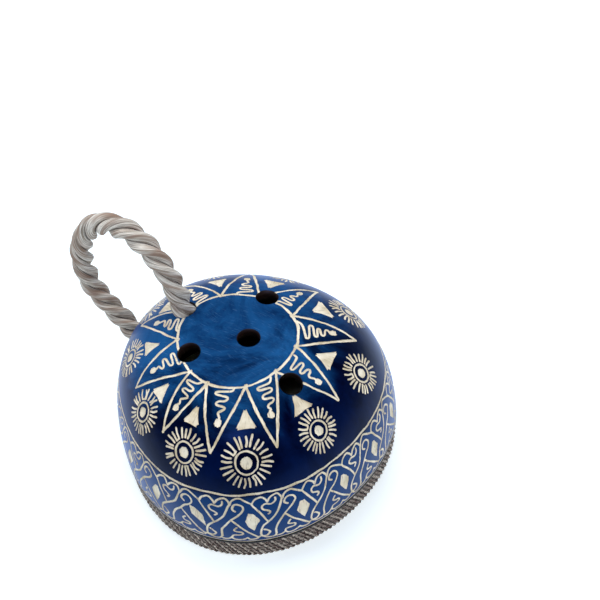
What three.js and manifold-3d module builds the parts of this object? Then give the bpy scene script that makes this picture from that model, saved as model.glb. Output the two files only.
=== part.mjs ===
// A hand drum made from half a coconut: a hollow carved shell drilled with four sound holes, a
// goatskin head stretched over its mouth, twine wound round the rim to hold the skin, and a rope
// handle. Millimetres, +Z up. The drum stands on its head, the way it is put down. The origin is the
// middle of the head's face, and the handle is on the -X side.
import * as THREE from "three";
import { mergeVertices } from "three/addons/utils/BufferGeometryUtils.js";
import Module from "manifold-3d";

const wasm = await Module();
wasm.setup();

const radians = THREE.MathUtils.degToRad;

// The nut: a rounded dome whose outline is a superellipse from the waist up to the crown.
const SHELL_RADIUS = 65;
const CROWN_HEIGHT = 72.3;
const WAIST_HEIGHT = 7.8;
const SIDE_POWER = 3.4;
const CROWN_POWER = 2.55;
const WALL = 5;

// A coconut has three soft ridges, and this one wasn't cut quite square to its axis.
const RIDGE_SHARE = 0.032;
const RIDGE_AZIMUTH = radians(48.5);
const LEAN_SHARE = 0.051;
const LEAN_AZIMUTH = radians(218);

// The filed seat round the mouth, where the skin and the twine lie.
const SEAT_TOP = 13.2;
const SEAT_STEP = 3.4;
const SEAT_STEP_HEIGHT = 0.6;
const SEAT_TAPER = 0.6;
const SEAT_WALL = 2;

// The skin, the twine's turns and the thin gaps between pieces.
const GAP = 0.2;
const SKIN = 0.7;
const SKIN_CORNER = 1.6;
const SKIN_TOP = 11.4;
const TWINE = 2.2;
const TWINE_TURNS = 5;
const TWINE_FIRST_HEIGHT = 2.7;
const SHELL_FOOT = SKIN + GAP;

// The drilled holes: one near the crown and three round it, each by its x and y on the plain dome.
const SOUND_HOLE = 10.4;
const SOUND_HOLE_CENTRES = [[2.8, 0.7], [-3.6, 26.6], [-16.2, -18.6], [31, -10.4]];

// The carving, cut through the lacquer into the shell. Reaches are measured from the crown along
// the surface. It was done by eye, so its figures stand at uneven azimuths.
const CARVING_DEPTH = 0.5;
const LINE = 1.1;
const DISC_RADIUS = 26.2;
const DISC_OFFSET = 2.54;
const DISC_OFFSET_AZIMUTH = radians(206.5);
const RAY_FEET = [60, 17.4, -21.7, -54.4, -89.4, -110, -149.8, -182.7, -217.2, -255].map(radians);
const RAY_TIPS = [36.3, -2.9, -43, -73.5, -99.2, -129.7, -170, -202, -240.5, -283.1].map(radians);
const RAY_TIP_REACHES = [50, 51.8, 53.5, 53.8, 54.7, 54.5, 52.9, 52, 53, 48.1];
const WEDGES = [58.9, 15.4, -22.7, -56.3, -86.8, -113.9, -149.2, -182, -220.3, -258.5].map(radians);
const WEDGE_REACHES = [33.6, 32.9, 37.5, 35.8, 37.6, 38.5, 37.4, 36, 34.5, 34];
const WEDGE_WIDTHS = [11.7, 11, 10.3, 8.4, 7.2, 8.9, 8.5, 9, 9.2, 10.7];
const WEDGE_LENGTH = 7.4;
const SUNS = [58.3, 18.8, -21.1, -57.5, -85.6, -115.7, -150.6, -182.4, -220.3, -261.2].map(radians);
const SUN_REACHES = [54, 55, 55.8, 57.4, 57.3, 56.5, 56.2, 56, 56, 55];
const SUN_DOT = 2.4;
const BAND_REACH = 71.8;
const DIAMOND_COUNT = 18;
const DIAMOND_AZIMUTH = radians(-58.1);
const DIAMOND_REACH = 87.6;
const DIAMOND_WIDTH = 5.8;
const DIAMOND_HEIGHT = 11.2;

// The handle's rope, and its line in the upright plane through the axis: distance from the axis on
// the -X side, then height. It starts at a stopper knot inside, loops out and ends at another.
const ROPE = 9.6;
const ROPE_HOLE = 10.6;
const KNOT_RADIUS = 7;
const ROPE_UPPER_HOLE_POINT = 2;
const ROPE_LOWER_HOLE_POINT = 17;
const ROPE_LINE = [
  [30.8, 56.8], [32.7, 63.2], [34.7, 69.5], [36.8, 76.0], [39.4, 84.5], [44.2, 94.5], [51.5, 102.3],
  [60.8, 106.6], [70.0, 106.0], [79.0, 101.0], [86.0, 92.5], [90.4, 82.0], [91.9, 71.0],
  [89.9, 60.5], [84.6, 51.8], [77.6, 45.0], [70.6, 39.2], [63.8, 34.6], [57.0, 31.6], [51.0, 29.8],
];

// How finely round forms are faceted.
const SIDES = 40;
const DOME_ROWS = 11;
const HOLLOW_ROWS = 6;
const HOLE_SIDES = 12;
const SKIN_CORNER_STEPS = 3;
const TURN_FACETS = 3;
const DOT_SIDES = 6;
const DISC_SIDES = 20;
const ROPE_SIDES = 8;
const ROPE_STEPS = 34;
const KNOT_SIDES = 8;

// The dome's outline, sampled once: the distance along it from the crown, the radius and the height.
const OUTLINE_SAMPLES = 2000;
const outline = [{ reach: 0, radius: 0, z: CROWN_HEIGHT }];
for (let i = 1; i <= OUTLINE_SAMPLES; i++) {
  const turn = (i / OUTLINE_SAMPLES) * (Math.PI / 2);
  const radius = SHELL_RADIUS * Math.sin(turn) ** (2 / SIDE_POWER);
  const z = WAIST_HEIGHT + (CROWN_HEIGHT - WAIST_HEIGHT) * Math.cos(turn) ** (2 / CROWN_POWER);
  const last = outline[i - 1];
  outline.push({ reach: last.reach + Math.hypot(radius - last.radius, z - last.z), radius, z });
}

// The outline's first sample, going down from the crown, whose reach, radius or z passes a value.
function outlineWhere(key, value) {
  return outline.find((sample) => (key === "z" ? sample.z <= value : sample[key] >= value));
}

const lean = new THREE.Vector2(Math.cos(LEAN_AZIMUTH), Math.sin(LEAN_AZIMUTH));
lean.multiplyScalar(LEAN_SHARE);

// A point of the plain round form moved to where it lies on the ridged, leaning nut.
function onNut(azimuth, radius, z) {
  const ridged = radius * (1 + RIDGE_SHARE * Math.cos(3 * (azimuth - RIDGE_AZIMUTH)));
  const x = ridged * Math.cos(azimuth) + lean.x * z;
  const y = ridged * Math.sin(azimuth) + lean.y * z;
  return new THREE.Vector3(x, y, z);
}

function onDome(azimuth, reach) {
  const { radius, z } = outlineWhere("reach", reach);
  return onNut(azimuth, radius, z);
}

// The dome's outward normal, from two small steps along its surface.
function domeNormal(azimuth, reach) {
  const step = 1.5;
  const down = onDome(azimuth, reach + step).sub(onDome(azimuth, reach - step));
  const turn = step / outlineWhere("reach", reach).radius;
  const round = onDome(azimuth + turn, reach).sub(onDome(azimuth - turn, reach));
  return down.cross(round).normalize();
}

// The filed seat's radius: a rounded step in from the dome, then a slight taper to the mouth.
function seatRadius(z) {
  const step = SEAT_STEP * THREE.MathUtils.smoothstep(SEAT_TOP - z, 0, SEAT_STEP_HEIGHT);
  const taper = (SEAT_TAPER * (SEAT_TOP - z)) / SEAT_TOP;
  return outlineWhere("z", SEAT_TOP).radius - step - taper;
}

function solidOf(geometry) {
  const bare = geometry.clone();
  bare.deleteAttribute("normal");
  bare.deleteAttribute("uv");
  const merged = mergeVertices(bare, 1e-4);
  const vertProperties = new Float32Array(merged.getAttribute("position").array);
  const triVerts = new Uint32Array(merged.index.array);
  return new wasm.Manifold(new wasm.Mesh({ numProp: 3, vertProperties, triVerts }));
}

function geometryOf(solid) {
  const mesh = solid.getMesh();
  const geometry = new THREE.BufferGeometry();
  geometry.setAttribute("position", new THREE.BufferAttribute(mesh.vertProperties, 3));
  geometry.setIndex(new THREE.BufferAttribute(mesh.triVerts, 1));
  geometry.computeVertexNormals();
  return geometry;
}

// A closed profile of [radius, height] pairs, turned about Z and moved onto the nut's real form.
function turned(profile) {
  const points = profile.map(([radius, z]) => new THREE.Vector2(radius, z));
  const lathe = new THREE.LatheGeometry(points, SIDES);
  lathe.deleteAttribute("normal");
  lathe.deleteAttribute("uv");
  lathe.rotateX(Math.PI / 2);
  const geometry = mergeVertices(lathe, 1e-4);
  const place = geometry.getAttribute("position");
  for (let i = 0; i < place.count; i++) {
    const azimuth = Math.atan2(place.getY(i), place.getX(i));
    const p = onNut(azimuth, Math.hypot(place.getX(i), place.getY(i)), place.getZ(i));
    place.setXYZ(i, p.x, p.y, p.z);
  }
  return geometry;
}

// A drill through the wall: a cylinder about a point, along a direction.
function drill(diameter, centre, direction) {
  const bit = new THREE.CylinderGeometry(diameter / 2, diameter / 2, 4 * WALL, HOLE_SIDES);
  const turn = new THREE.Quaternion().setFromUnitVectors(new THREE.Vector3(0, 1, 0), direction);
  bit.applyQuaternion(turn).translate(centre.x, centre.y, centre.z);
  return solidOf(bit);
}

function soundHoleDrills() {
  return SOUND_HOLE_CENTRES.map(([x, y]) => {
    const azimuth = Math.atan2(y, x);
    const { reach } = outlineWhere("radius", Math.hypot(x, y));
    return drill(SOUND_HOLE, onDome(azimuth, reach), domeNormal(azimuth, Math.max(reach, 2)));
  });
}

function ropeCurve() {
  return new THREE.CatmullRomCurve3(ROPE_LINE.map(([out, z]) => new THREE.Vector3(-out, 0, z)));
}

// The rope's two holes follow its line where it passes through the wall.
function ropeDrills() {
  const curve = ropeCurve();
  return [ROPE_UPPER_HOLE_POINT, ROPE_LOWER_HOLE_POINT].map((point) => {
    const t = point / (ROPE_LINE.length - 1);
    return drill(ROPE_HOLE, curve.getPoint(t), curve.getTangent(t));
  });
}

// A cutter for a carved figure, whose corners are [azimuth, reach] pairs: a prism standing out of
// the dome along the normal at its middle, and reaching a little way in.
function cutter(corners, azimuth, reach) {
  const middle = onDome(azimuth, reach);
  const out = domeNormal(azimuth, reach);
  const across = new THREE.Vector3(-Math.sin(azimuth), Math.cos(azimuth), 0).cross(out).normalize();
  const along = out.clone().cross(across);
  const places = corners.map(([a, r]) => onDome(a, r).sub(middle));
  const shape = new THREE.Shape(places.map((p) => new THREE.Vector2(p.dot(across), p.dot(along))));
  const heights = places.map((p) => p.dot(out));
  const low = Math.min(...heights) - 4 * CARVING_DEPTH;
  const depth = Math.max(...heights) + 2 * WALL - low;
  const prism = new THREE.ExtrudeGeometry(shape, { depth, bevelEnabled: false });
  const frame = new THREE.Matrix4().makeBasis(across, along, out).setPosition(middle);
  return solidOf(prism.translate(0, 0, low).applyMatrix4(frame));
}

// The corners of a regular figure about a point of the dome.
function roundFigure(azimuth, reach, size, sides) {
  const spread = outlineWhere("reach", reach).radius;
  return Array.from({ length: sides }, (_, k) => {
    const turn = (2 * Math.PI * k) / sides;
    return [azimuth + (size * Math.sin(turn)) / spread, reach + size * Math.cos(turn)];
  });
}

// A ray of the star: a line out from one foot on the disc's edge to the tip and back to the other.
function rayCutter(leftFoot, rightFoot, tip, tipReach) {
  const [left, right, point] = [
    [leftFoot, discReach(leftFoot)], [rightFoot, discReach(rightFoot)], [tip, tipReach],
  ].map(([azimuth, reach]) => new THREE.Vector2(reach * Math.cos(azimuth), reach * Math.sin(azimuth)));
  const foot = left.clone().add(right).multiplyScalar(0.5);
  const step = (from, to, length) => from.clone().add(to.clone().sub(from).setLength(length));
  const narrow = (2 * LINE * point.distanceTo(foot)) / left.distanceTo(right);
  const corners = [
    left, point, right, step(right, foot, LINE), step(point, foot, narrow), step(left, foot, LINE),
  ].map((corner) => [corner.angle(), corner.length()]);
  const middle = foot.add(point).multiplyScalar(0.5);
  return cutter(corners, middle.angle(), middle.length());
}

function discReach(azimuth) {
  return DISC_RADIUS + DISC_OFFSET * Math.cos(azimuth - DISC_OFFSET_AZIMUTH);
}

// The ring round the plain disc at the crown.
function discCutter() {
  const edge = (offset) =>
    Array.from({ length: DISC_SIDES }, (_, k) => {
      const azimuth = (2 * Math.PI * k) / DISC_SIDES;
      return [azimuth, discReach(azimuth) + offset];
    });
  const inner = cutter(edge(-LINE / 2), DISC_OFFSET_AZIMUTH, DISC_OFFSET);
  return cutter(edge(LINE / 2), DISC_OFFSET_AZIMUTH, DISC_OFFSET).subtract(inner);
}

// The star of ten rays, with a wedge and a sun outside each notch between them.
function starCutters() {
  const cutters = [];
  RAY_TIPS.forEach((tip, k) => {
    cutters.push(rayCutter(RAY_FEET[k], RAY_FEET[(k + 1) % RAY_FEET.length], tip, RAY_TIP_REACHES[k]));
  });
  WEDGES.forEach((azimuth, k) => {
    const base = WEDGE_REACHES[k] + WEDGE_LENGTH;
    const half = WEDGE_WIDTHS[k] / 2 / outlineWhere("reach", base).radius;
    const wedge = [[azimuth, WEDGE_REACHES[k]], [azimuth + half, base], [azimuth - half, base]];
    cutters.push(cutter(wedge, azimuth, base - WEDGE_LENGTH / 2));
  });
  SUNS.forEach((azimuth, k) => {
    const dot = roundFigure(azimuth, SUN_REACHES[k], SUN_DOT, DOT_SIDES);
    cutters.push(cutter(dot, azimuth, SUN_REACHES[k]));
  });
  return cutters;
}

// The diamonds of the scrolled band round the side.
function diamondCutters() {
  const half = DIAMOND_WIDTH / 2 / SHELL_RADIUS;
  return Array.from({ length: DIAMOND_COUNT }, (_, k) => {
    const azimuth = DIAMOND_AZIMUTH + (2 * Math.PI * k) / DIAMOND_COUNT;
    const corners = [
      [azimuth - half, DIAMOND_REACH], [azimuth, DIAMOND_REACH - DIAMOND_HEIGHT / 2],
      [azimuth + half, DIAMOND_REACH], [azimuth, DIAMOND_REACH + DIAMOND_HEIGHT / 2],
    ];
    return cutter(corners, azimuth, DIAMOND_REACH);
  });
}

// The dome's profile from the crown down to the seat, sunk by a depth.
function domeProfile(depth) {
  const shrink = (SHELL_RADIUS - depth) / SHELL_RADIUS;
  const seat = outlineWhere("z", SEAT_TOP).reach;
  const reaches = Array.from({ length: DOME_ROWS + 1 }, (_, k) => (seat * k) / DOME_ROWS);
  return reaches.map((reach) => {
    const { radius, z } = outlineWhere("reach", reach);
    return [radius * shrink, WAIST_HEIGHT + (z - WAIST_HEIGHT) * shrink];
  });
}

// The line above the scrolled band: a groove turned round the dome.
function bandLineCutter() {
  const high = outlineWhere("reach", BAND_REACH - LINE / 2);
  const low = outlineWhere("reach", BAND_REACH + LINE / 2);
  const inside = high.radius - 4 * CARVING_DEPTH;
  const outside = high.radius + 2 * WALL;
  return solidOf(
    turned([[inside, low.z], [outside, low.z], [outside, high.z], [inside, high.z], [inside, low.z]]),
  );
}

// The half coconut: a hollow dome open at the mouth, drilled and carved.
function shell() {
  const seatHeights = [SEAT_TOP - SEAT_STEP_HEIGHT / 2, SEAT_TOP - SEAT_STEP_HEIGHT, SHELL_FOOT];
  const outer = [...domeProfile(0), ...seatHeights.map((z) => [seatRadius(z), z])];
  const shrink = (SHELL_RADIUS - WALL) / SHELL_RADIUS;
  const seat = outlineWhere("z", SEAT_TOP).reach;
  const hollow = Array.from({ length: HOLLOW_ROWS + 1 }, (_, k) => {
    const { radius, z } = outlineWhere("reach", (seat * k) / HOLLOW_ROWS);
    return [radius * shrink, WAIST_HEIGHT + (z - WAIST_HEIGHT) * shrink];
  });
  hollow.push([seatRadius(SHELL_FOOT) - SEAT_WALL, SHELL_FOOT]);
  let body = solidOf(turned([...outer, ...hollow.reverse()].reverse()));
  const sunkProfile = [...domeProfile(CARVING_DEPTH), [SHELL_RADIUS - WALL, 0], [0, 0]];
  const sunk = solidOf(turned(sunkProfile.reverse()));
  const figures = [discCutter(), ...starCutters(), ...diamondCutters(), bandLineCutter()];
  for (const figure of figures) {
    body = body.subtract(figure.subtract(sunk));
  }
  for (const bit of [...soundHoleDrills(), ...ropeDrills()]) {
    body = body.subtract(bit);
  }
  return geometryOf(body);
}

// The goatskin: flat across the mouth, turned over a rounded corner and up the seat.
function skin() {
  const inner = (z) => seatRadius(z) + GAP;
  const outerAtCorner = inner(SKIN_CORNER) + SKIN;
  const profile = [[0, 0]];
  for (let i = 0; i <= SKIN_CORNER_STEPS; i++) {
    const turn = (i / SKIN_CORNER_STEPS) * (Math.PI / 2);
    const radius = outerAtCorner - SKIN_CORNER * (1 - Math.sin(turn));
    profile.push([radius, SKIN_CORNER * (1 - Math.cos(turn))]);
  }
  profile.push([inner(SKIN_TOP) + SKIN, SKIN_TOP], [inner(SKIN_TOP), SKIN_TOP]);
  profile.push([inner(SHELL_FOOT), SKIN], [0, SKIN]);
  return turned(profile);
}

// The twine: one length wound round the rim, its turns side by side, drawn as one grooved ring.
function twine() {
  const back = (z) => seatRadius(z) + GAP + SKIN + GAP;
  const low = TWINE_FIRST_HEIGHT - TWINE / 2;
  const high = low + TWINE * TWINE_TURNS;
  const profile = [[back(low), low]];
  for (let turn = 0; turn < TWINE_TURNS; turn++) {
    const middle = TWINE_FIRST_HEIGHT + turn * TWINE;
    for (let i = 0; i < TURN_FACETS; i++) {
      const angle = (-1 + (2 * (i + 0.5)) / TURN_FACETS) * (Math.PI / 2);
      const radius = back(SKIN_TOP) + (TWINE / 2) * (1 + Math.cos(angle));
      profile.push([radius, middle + (TWINE / 2) * Math.sin(angle)]);
    }
  }
  profile.push([back(SKIN_TOP), high], [back(low), low]);
  return turned(profile);
}

// The rope handle: a loop through the two holes, with a stopper knot on each end inside.
function rope() {
  const section = new THREE.Shape(
    Array.from({ length: ROPE_SIDES }, (_, i) => {
      const turn = (i / ROPE_SIDES) * 2 * Math.PI;
      return new THREE.Vector2((ROPE / 2) * Math.cos(turn), (ROPE / 2) * Math.sin(turn));
    }),
  );
  const curve = ropeCurve();
  const along = { steps: ROPE_STEPS, extrudePath: curve, bevelEnabled: false };
  let body = solidOf(new THREE.ExtrudeGeometry(section, along));
  for (const end of [curve.getPoint(0), curve.getPoint(1)]) {
    const knot = new THREE.SphereGeometry(KNOT_RADIUS, KNOT_SIDES, KNOT_SIDES / 2);
    body = body.add(solidOf(knot.translate(end.x, end.y, end.z)));
  }
  return geometryOf(body);
}

// A named piece with its finish.
function piece(name, geometry, color, roughness) {
  const material = new THREE.MeshStandardMaterial({ color, roughness, metalness: 0 });
  const mesh = new THREE.Mesh(geometry, material);
  mesh.name = name;
  return mesh;
}

const drum = new THREE.Group();
drum.add(piece("coconut_shell", shell(), 0x14386b, 0.28));
drum.add(piece("goatskin_head", skin(), 0xe9e4d6, 0.7));
drum.add(piece("twine_binding", twine(), 0x4b3f3b, 0.85));
drum.add(piece("rope_handle", rope(), 0xb5a58d, 0.9));

export default drum;
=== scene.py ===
"""A hand drum made from half a coconut: a carved and lacquered shell standing on its goatskin head,
with twine wound round the rim and a rope handle. Sizes are in millimetres until a piece's points go
into its mesh, in metres, with +Z up and the handle on the -X side."""

import bpy
import numpy as np
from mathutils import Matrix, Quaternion, Vector
from mathutils.bvhtree import BVHTree
from mathutils.geometry import delaunay_2d_cdt


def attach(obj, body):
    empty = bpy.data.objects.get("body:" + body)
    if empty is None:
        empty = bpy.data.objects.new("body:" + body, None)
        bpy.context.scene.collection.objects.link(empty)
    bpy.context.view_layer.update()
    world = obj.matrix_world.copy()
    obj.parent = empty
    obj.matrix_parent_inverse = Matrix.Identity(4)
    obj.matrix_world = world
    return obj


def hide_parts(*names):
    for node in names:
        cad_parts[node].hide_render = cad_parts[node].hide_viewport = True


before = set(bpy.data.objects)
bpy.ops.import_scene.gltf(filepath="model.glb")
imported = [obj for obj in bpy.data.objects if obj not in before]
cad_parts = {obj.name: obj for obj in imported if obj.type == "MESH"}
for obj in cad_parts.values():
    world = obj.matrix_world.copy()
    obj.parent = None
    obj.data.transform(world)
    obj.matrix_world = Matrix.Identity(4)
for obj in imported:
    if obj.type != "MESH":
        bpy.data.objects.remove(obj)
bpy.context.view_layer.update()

# The camera looks down at the drum's crown from the front right, and stands a little over half a
# metre away. The drum fills the lower left of the picture.
CAMERA_PLACE = Vector((0.1629, -0.2242, 0.3945))
CAMERA_TARGET = Vector((-0.0075, 0.0535, 0.0400))
CAMERA_ROLL = np.radians(-1.72)
CAMERA_LENS = 59.2

camera_data = bpy.data.cameras.new("portrait_camera")
camera_data.lens = CAMERA_LENS
camera = bpy.data.objects.new("portrait_camera", camera_data)
bpy.context.collection.objects.link(camera)
camera.location = CAMERA_PLACE
camera.rotation_mode = "QUATERNION"
aim = (CAMERA_TARGET - CAMERA_PLACE).to_track_quat("-Z", "Y")
camera.rotation_quaternion = aim @ Quaternion((0, 0, 1), CAMERA_ROLL)
bpy.context.scene.camera = camera

# The rope handle: a length of three-strand plant-fibre rope, laid left-handed. It comes up through
# one hole in the shell, loops out and goes back in through another, with a stopper knot on each end
# inside. The hairy fibre is stiff enough to hold the loop up.
ROPE_LINE = [
    (30.8, 56.8), (32.7, 63.2), (34.7, 69.5), (36.8, 76.0), (39.4, 84.5), (44.2, 94.5), (51.5, 102.3),
    (60.8, 106.6), (70.0, 106.0), (79.0, 101.0), (86.0, 92.5), (90.4, 82.0), (91.9, 71.0),
    (89.9, 60.5), (84.6, 51.8), (77.6, 45.0), (70.6, 39.2), (63.8, 34.6), (57.0, 31.6), (51.0, 29.8),
]
ROPE_ACROSS = 10.0
ROPE_PITCH = 29.0
ROPE_STRAND_RADIUS = 2.62
ROPE_STRAND_OFFSET = 2.55
ROPE_ROW_SPACING = 0.45
ROPE_COLUMNS = 32
ROPE_LAY_START = 0.6
KNOT_RADIUS = 6.9
KNOT_TIP_SQUARE = 0.6
STRANDS_APART = 37.0
MILLIMETRE = 0.001

chance = np.random.default_rng(7)


def smooth_line(points, spacing):
    """A Catmull-Rom curve through the points, cut into even steps of about the spacing."""
    points = np.asarray(points, float)
    first, last = 2 * points[0] - points[1], 2 * points[-1] - points[-2]
    held = np.vstack([first, points, last])
    a, b, c, d = held[:-3], held[1:-2], held[2:-1], held[3:]
    t = np.linspace(0, 1, 16, endpoint=False)[:, None, None]
    bend = 2 * b + (c - a) * t + (2 * a - 5 * b + 4 * c - d) * t**2 + (3 * b - a - 3 * c + d) * t**3
    curve = np.vstack([(bend / 2).transpose(1, 0, 2).reshape(-1, points.shape[1]), points[-1:]])
    along = np.concatenate([[0], np.cumsum(np.linalg.norm(np.diff(curve, axis=0), axis=1))])
    stops = np.linspace(0, along[-1], max(2, round(along[-1] / spacing) + 1))
    return np.stack([np.interp(stops, along, column) for column in curve.T], axis=1)


def laid_strands(line, outward, lay, strands, strand_radius, offset, swell, columns, relief):
    """Strands laid round a line. Each strand's outline is a circle set off from the line, so that
    two of them meet in a furrow, and the outline turns by the lay angle from row to row. Returns
    the grid of points, and for each point its strand coordinate: (round it, which strand, along)."""
    ahead = np.gradient(line, axis=0)
    ahead /= np.linalg.norm(ahead, axis=1, keepdims=True)
    upward = np.cross(ahead, outward)
    share = 2 * np.pi / strands
    lean = (np.linspace(-0.5, 0.5, columns, endpoint=False) * share)[None, :]
    along = np.arange(len(line))[:, None] * np.linalg.norm(line[1] - line[0])
    rows, marks = [], []
    for strand in range(strands):
        reach = offset * np.cos(lean) + np.sqrt(strand_radius**2 - (offset * np.sin(lean)) ** 2)
        reach = (reach + relief(lean, along, strand)) * swell[:, None]
        angle = lay[:, None] + share * strand + lean
        way = np.cos(angle)[..., None] * outward[:, None]
        way = way + np.sin(angle)[..., None] * upward[:, None]
        rows.append(line[:, None] + reach[..., None] * way)
        mark = np.broadcast_arrays(lean * strand_radius * 1.6, STRANDS_APART * strand, along)
        marks.append(np.stack(mark, axis=-1))
    return np.concatenate(rows, axis=1), np.concatenate(marks, axis=1)


def tube_faces(rows, columns):
    """The four-sided faces of a tube of rows along it and columns round it, turned outwards."""
    row, column = np.meshgrid(np.arange(rows - 1), np.arange(columns), indexing="ij")
    after = (column + 1) % columns
    corners = [row * columns + column, row * columns + after]
    corners += [(row + 1) * columns + after, (row + 1) * columns + column]
    return np.stack(corners, axis=-1).reshape(-1, 4)


def closed_tube_faces(rows, columns):
    """The faces of a tube, and one flat face over each of its ends."""
    last = (rows - 1) * columns
    ends = [list(range(columns))[::-1], list(range(last, last + columns))]
    return tube_faces(rows, columns).tolist() + ends


def new_piece(name, points, faces, node, materials):
    """A piece from points in millimetres and faces: it rides on the drum, and stands for a node."""
    mesh = bpy.data.meshes.new(name)
    mesh.from_pydata(np.asarray(points, float) * MILLIMETRE, [], faces, shade_flat=False)
    for material in materials:
        mesh.materials.append(material)
    made = bpy.data.objects.new(name, mesh)
    bpy.context.collection.objects.link(made)
    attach(made, "root")
    if node:
        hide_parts(node)
    return made


def mark_points(piece, name, vectors):
    """Stores a vector for each point of the piece's mesh, for its material to read."""
    attribute = piece.data.attributes.new(name, "FLOAT_VECTOR", "POINT")
    attribute.data.foreach_set("vector", np.asarray(vectors, np.float32).ravel())


def hex_colour(code):
    """An sRGB hex colour as the linear colour that a shader takes."""
    shown = np.array([int(code[i:i + 2], 16) for i in (1, 3, 5)]) / 255
    linear = np.where(shown <= 0.04045, shown / 12.92, ((shown + 0.055) / 1.055) ** 2.4)
    return (*linear.tolist(), 1.0)


def add_node(material, kind, inputs=None, **settings):
    """Adds a shader node with its settings. An input is given a value, or another node's output.
    Returns the node's outputs."""
    tree = material.node_tree
    made = tree.nodes.new("ShaderNode" + kind)
    for key, value in settings.items():
        setattr(made, key, value)
    for key, value in (inputs or {}).items():
        if isinstance(value, bpy.types.NodeSocket):
            tree.links.new(value, made.inputs[key])
        else:
            made.inputs[key].default_value = value
    return made.outputs


def new_material(name):
    """An empty node material."""
    material = bpy.data.materials.new(name)
    material.use_nodes = True
    material.node_tree.nodes.clear()
    return material


def layered(material, code, layers):
    """Lays colours over a first one. Each layer comes in as its pattern goes from one value to
    another, and covers what is under it up to a share. Returns the colour of them all."""
    colour = hex_colour(code)
    for pattern, start, end, share, over in layers:
        shown = add_node(
            material, "MapRange",
            {"Value": pattern, "From Min": start, "From Max": end, "To Max": share},
        )[0]
        colour = add_node(
            material, "Mix", {"Factor": shown, "A": colour, "B": hex_colour(over)}, data_type="RGBA"
        )["Result"]
    return colour


def dried_plant_fibre():
    """Sun-bleached plant fibre, twisted by hand. Each strand is a bundle of fine straws, grey-beige
    with some brown stretches, and matt, with painted shade darkening the furrows between strands."""
    material = new_material("dried_plant_fibre_rope")
    strand = add_node(material, "Attribute", attribute_name="strand")["Vector"]
    straws, patches, hairs = [
        add_node(
            material, "TexNoise",
            {"Vector": add_node(material, "Mapping", {"Vector": strand, "Scale": stretch})[0],
             "Scale": scale, "Detail": detail},
        )["Fac"]
        for stretch, scale, detail in (
            ((1.5, 1, 0.07), 1.3, 4), ((0.3, 1, 0.09), 1.0, 2), ((6, 1, 0.16), 1.2, 2),
        )
    ]
    colour = layered(
        material, "#978a7b",
        [(straws, 0.4, 0.58, 1, "#ebe5da"), (patches, 0.46, 0.64, 0.85, "#8f7360"),
         (hairs, 0.53, 0.68, 0.85, "#5c4d40")],
    )
    across = add_node(material, "SeparateXYZ", {"Vector": strand})["X"]
    across = add_node(material, "Math", {0: across}, operation="ABSOLUTE")[0]
    # Painted shade: each strand's colour darkens towards its edges, down in the furrows.
    furrow = add_node(
        material, "MapRange", {"Value": across, "From Min": 3.7, "From Max": 4.3, "To Max": 0.95},
        interpolation_type="SMOOTHSTEP",
    )[0]
    colour = add_node(
        material, "Mix", {"Factor": furrow, "A": colour, "B": hex_colour("#1d1512")}, data_type="RGBA"
    )["Result"]
    bump = add_node(material, "Bump", {"Height": hairs, "Strength": 0.5, "Distance": 0.0002})[0]
    shader = add_node(
        material, "BsdfPrincipled", {"Base Color": colour, "Roughness": 0.75, "Normal": bump}
    )[0]
    add_node(material, "OutputMaterial", {"Surface": shader})
    return material


def straw_relief(lean, along, strand):
    """Straws standing out of a strand: ripples round it that wander and fade along it."""
    ripples = 0.0
    for _ in range(9):
        count, pace, phase = chance.uniform(4, 16), chance.normal(0, 0.12), chance.uniform(0, 6.3)
        ripples = ripples + np.sin(count * lean * 1.5 + pace * along + phase + 2 * strand)
    swelling = np.sin(along * 0.27 + 2.1 * strand) + np.sin(along * 0.45 + 4 * strand)
    return 0.008 * ripples + 0.16 * swelling


rope_route = smooth_line([(-out, 0, height) for out, height in ROPE_LINE], ROPE_ROW_SPACING)
rope_step = np.linalg.norm(rope_route[1] - rope_route[0])
tail = np.arange(round(KNOT_RADIUS / rope_step), 0, -1)[:, None] * rope_step
head_way, foot_way = rope_route[0] - rope_route[1], rope_route[-1] - rope_route[-2]
rope_line = np.vstack(
    [rope_route[0] + head_way / rope_step * tail, rope_route,
     rope_route[-1] + foot_way / rope_step * tail[::-1]]
)
rope_ahead = np.gradient(rope_line, axis=0)
rope_outward = np.stack([rope_ahead[:, 2], 0 * rope_ahead[:, 1], -rope_ahead[:, 0]], axis=1)
rope_outward /= np.linalg.norm(rope_outward, axis=1, keepdims=True)
from_knots = np.abs(np.arange(len(rope_line)) - len(tail)) * rope_step
from_knots = np.minimum(from_knots, from_knots[::-1])
bulb = np.sqrt(np.clip(KNOT_RADIUS**2 - from_knots**2, KNOT_TIP_SQUARE, None)) / (ROPE_ACROSS / 2)
past_end = np.arange(len(rope_line)) < len(tail)
past_end = past_end | past_end[::-1]
rope_swell = np.where(past_end, bulb, np.maximum(1, bulb))
rope_lay = -2 * np.pi / ROPE_PITCH * np.arange(len(rope_line)) * rope_step + ROPE_LAY_START
rope_grid, rope_marks = laid_strands(
    rope_line, rope_outward, rope_lay, 3, ROPE_STRAND_RADIUS, ROPE_STRAND_OFFSET, rope_swell,
    ROPE_COLUMNS, straw_relief,
)
rope_rows, rope_round = rope_grid.shape[:2]
rope_fibre = dried_plant_fibre()
rope = new_piece(
    "rope_handle_laid", rope_grid.reshape(-1, 3), closed_tube_faces(rope_rows, rope_round),
    "rope_handle", [rope_fibre],
)
mark_points(rope, "strand", rope_marks.reshape(-1, 3))


WHISKER_ROWS = 6


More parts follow.
